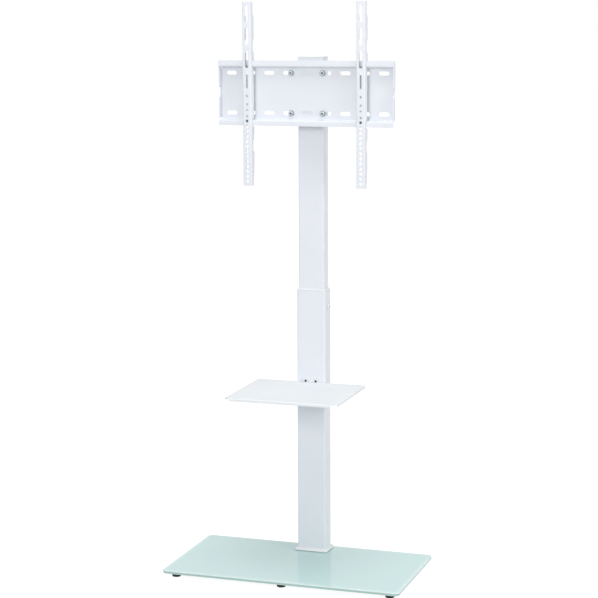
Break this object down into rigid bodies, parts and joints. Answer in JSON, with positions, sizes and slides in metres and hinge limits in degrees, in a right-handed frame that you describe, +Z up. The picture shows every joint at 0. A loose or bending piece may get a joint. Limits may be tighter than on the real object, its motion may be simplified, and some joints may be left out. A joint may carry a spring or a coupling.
{
  "type": "floor television stand",
  "caption": "Floor stand for a flat television: glass base, telescoping white column, folded shelf and a slotted wall plate with hooked perforated arms.",
  "frame": {"origin": "on the floor, under the middle of the glass base", "axes": "+X to the stand's right as seen from the screen side, -Y towards the viewer of the screen, +Z up"},
  "size_m": [0.6, 0.325, 1.3942],
  "materials": {
    "white_steel": "smooth white powder coat",
    "white_plastic": "moulded white plastic",
    "glass": "tempered glass with a pale aqua back coat and polished edges",
    "black_rubber": "moulded black rubber",
    "grey_rubber": "cut grey rubber sheet",
    "zinc": "bright zinc plate",
    "black_steel": "black oxide steel"
  },
  "bodies": {
    "stand": {"base_glass": "glass", "foot_front_left": "black_rubber", "foot_front_middle": "black_rubber", "foot_front_right": "black_rubber", "foot_rear_left": "black_rubber", "foot_rear_middle": "black_rubber", "foot_rear_right": "black_rubber", "clamp_plate": "zinc", "lower_gasket": "grey_rubber", "upper_gasket": "grey_rubber", "foot_plate": "white_steel", "base_bolt_1": "zinc", "base_bolt_2": "zinc", "base_bolt_3": "zinc", "base_bolt_4": "zinc", "base_nut_1": "zinc", "base_nut_2": "zinc", "base_nut_3": "zinc", "base_nut_4": "zinc", "outer_tube": "white_steel", "guide_bush": "white_plastic", "height_lock_nut": "zinc", "shelf_bracket": "white_steel", "shelf": "white_steel", "shelf_bolt_upper_left": "black_steel", "shelf_bolt_upper_right": "black_steel", "shelf_bolt_lower_left": "black_steel", "shelf_bolt_lower_right": "black_steel"},
    "column_head": {"inner_tube": "white_steel", "lower_glide": "white_plastic", "top_cap": "white_plastic", "standoff_channel": "white_steel", "mount_plate": "white_steel", "mount_screw_1": "zinc", "mount_screw_2": "zinc", "mount_screw_3": "zinc", "mount_screw_4": "zinc", "mount_washer_1": "zinc", "mount_washer_2": "zinc", "mount_washer_3": "zinc", "mount_washer_4": "zinc", "mount_nut_1": "zinc", "mount_nut_2": "zinc", "mount_nut_3": "zinc", "mount_nut_4": "zinc", "wall_plate": "white_steel"},
    "left_arm_set": {"left_arm": "white_steel", "left_arm_nut": "zinc"},
    "right_arm_set": {"right_arm": "white_steel", "right_arm_nut": "zinc"},
    "left_arm_lock": {"left_arm_lock_screw": "black_steel"},
    "right_arm_lock": {"right_arm_lock_screw": "black_steel"},
    "height_lock": {"height_lock_screw": "white_steel"}
  },
  "joints": [
    {"name": "height_slide", "type": "slide", "parent": "stand", "child": "column_head", "axis": [0, 0, 1], "range_m": [0, 0.15]},
    {"name": "left_arm_slide", "type": "slide", "parent": "column_head", "child": "left_arm_set", "axis": [1, 0, 0], "range_m": [-0.0546, 0.0954]},
    {"name": "right_arm_slide", "type": "slide", "parent": "column_head", "child": "right_arm_set", "axis": [1, 0, 0], "range_m": [-0.0932, 0.0568]},
    {"name": "height_lock_turn", "type": "hinge", "parent": "stand", "child": "height_lock", "pos_m": [0.0373, 0.1248, 0.6452], "axis": [1, 0, 0], "continuous": true},
    {"name": "left_arm_lock_turn", "type": "hinge", "parent": "left_arm_set", "child": "left_arm_lock", "pos_m": [-0.1454, 0.0502, 1.1067], "axis": [0, -1, 0], "continuous": true},
    {"name": "right_arm_lock_turn", "type": "hinge", "parent": "right_arm_set", "child": "right_arm_lock", "pos_m": [0.1432, 0.0502, 1.1067], "axis": [0, -1, 0], "continuous": true}
  ]
}
